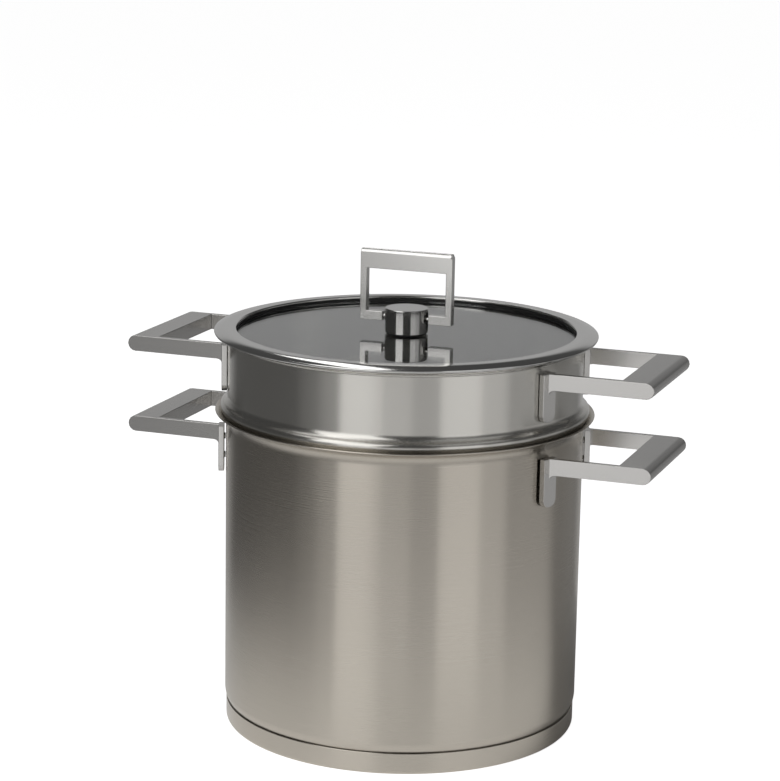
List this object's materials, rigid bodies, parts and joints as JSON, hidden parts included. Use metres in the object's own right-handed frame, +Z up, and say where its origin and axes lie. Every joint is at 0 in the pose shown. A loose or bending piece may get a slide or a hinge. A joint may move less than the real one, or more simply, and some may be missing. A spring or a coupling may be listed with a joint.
{
  "type": "stockpot with strainer insert",
  "caption": "Tall steel stockpot with a perforated strainer insert hanging in its rim, side loop handles, and a flat glass lid with a folding loop handle on a round knob.",
  "frame": {"origin": "centre of the base's flat underside, on the floor, on the pot's axis", "axes": "+Z up along the pot's axis, +X out through the right handles, +Y away from the front"},
  "size_m": [0.369, 0.2586, 0.3254],
  "materials": {
    "satin_steel": "satin, brushed round the pot",
    "rim_steel": "satin, brushed round the lid",
    "handle_steel": "fine satin along the bars",
    "fastener_steel": "turned and polished",
    "disc_aluminium": "plain",
    "lid_glass": "clear tempered glass",
    "black_silicone": "matt",
    "friction_plastic": "matt"
  },
  "bodies": {
    "stockpot": {"pot_body": "satin_steel", "pot_base_cap": "satin_steel", "pot_base_core": "disc_aluminium", "pot_left_handle": "handle_steel", "pot_right_handle": "handle_steel"},
    "strainer_insert": {"strainer_basket": "satin_steel", "strainer_left_handle": "handle_steel", "strainer_right_handle": "handle_steel"},
    "lid": {"lid_rim": "rim_steel", "lid_glass": "lid_glass", "lid_seal": "black_silicone", "lid_knob": "fastener_steel", "lid_friction_block": "friction_plastic", "lid_knob_base": "fastener_steel", "lid_knob_gasket": "black_silicone", "lid_screw_gasket": "black_silicone", "lid_screw_washer": "fastener_steel", "lid_screw": "fastener_steel"},
    "lid_handle": {"lid_handle_frame": "handle_steel", "lid_handle_pin": "fastener_steel"}
  },
  "joints": [
    {"name": "strainer_lift", "type": "slide", "parent": "stockpot", "child": "strainer_insert", "axis": [0, 0, 1], "range_m": [0, 0.2]},
    {"name": "lid_lift", "type": "slide", "parent": "strainer_insert", "child": "lid", "axis": [0, 0, 1], "range_m": [0, 0.08]},
    {"name": "lid_handle_fold", "type": "hinge", "parent": "lid", "child": "lid_handle", "pos_m": [0, 0, 0.28], "axis": [1, 0, 0], "range_deg": [-90, 90]}
  ]
}
